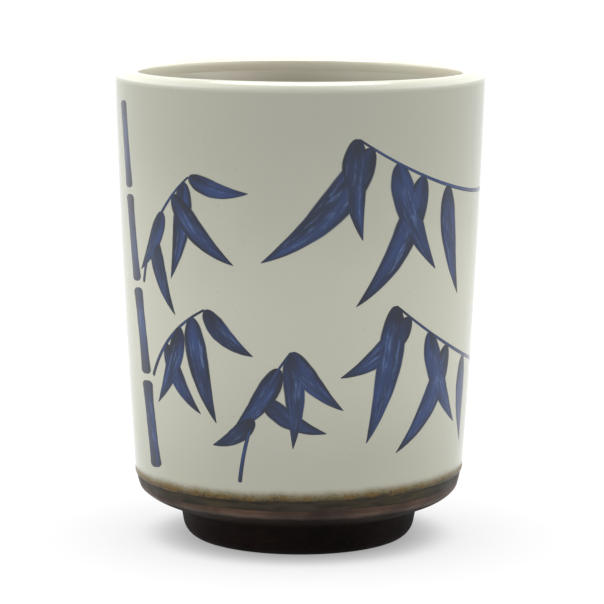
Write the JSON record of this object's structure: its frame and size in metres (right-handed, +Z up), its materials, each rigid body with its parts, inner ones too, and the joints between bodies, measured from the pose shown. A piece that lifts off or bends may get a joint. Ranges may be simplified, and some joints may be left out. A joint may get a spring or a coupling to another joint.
{
  "type": "tea_cup",
  "caption": "Handleless stoneware tea cup: near-straight white glazed wall with cobalt bamboo brushwork, ochre glaze line above bare dark clay, turned foot ring and rounded thick lip",
  "frame": {"origin": "centre of the plane that the foot ring stands on", "axes": "+Z up along the cup's axis of turning, towards the mouth; -Y faces the bamboo_spray_front side; +X to the right of that side"},
  "size_m": [0.075, 0.075, 0.0959],
  "materials": {
    "stoneware": "bare fired clay, fine grain, matt",
    "dark_stoneware": "bare fired clay, burnished dark, satin",
    "white_glaze": "smooth glossy grey-white glaze",
    "lining_glaze": "smooth glossy warm grey-white glaze",
    "ochre_glaze": "thin ochre glaze edge with brown specks",
    "thin_brown_glaze": "thin grey-brown glaze over clay, satin",
    "cobalt": "cobalt brush strokes, pooled and streaky, glossy"
  },
  "bodies": {
    "root": {"clay_body": "stoneware", "foot_ring": "dark_stoneware", "outer_glaze": "white_glaze", "lip_glaze": "white_glaze", "inner_glaze": "lining_glaze", "glaze_hem": "ochre_glaze", "glaze_skirt": "thin_brown_glaze", "bamboo_stalk_left": "cobalt", "bamboo_stalk_rear": "cobalt", "bamboo_spray_left_upper": "cobalt", "bamboo_spray_left_lower": "cobalt", "bamboo_spray_front": "cobalt", "bamboo_spray_right_upper": "cobalt", "bamboo_spray_right_lower": "cobalt", "bamboo_spray_rear": "cobalt", "bamboo_spray_back": "cobalt"}
  },
  "joints": []
}
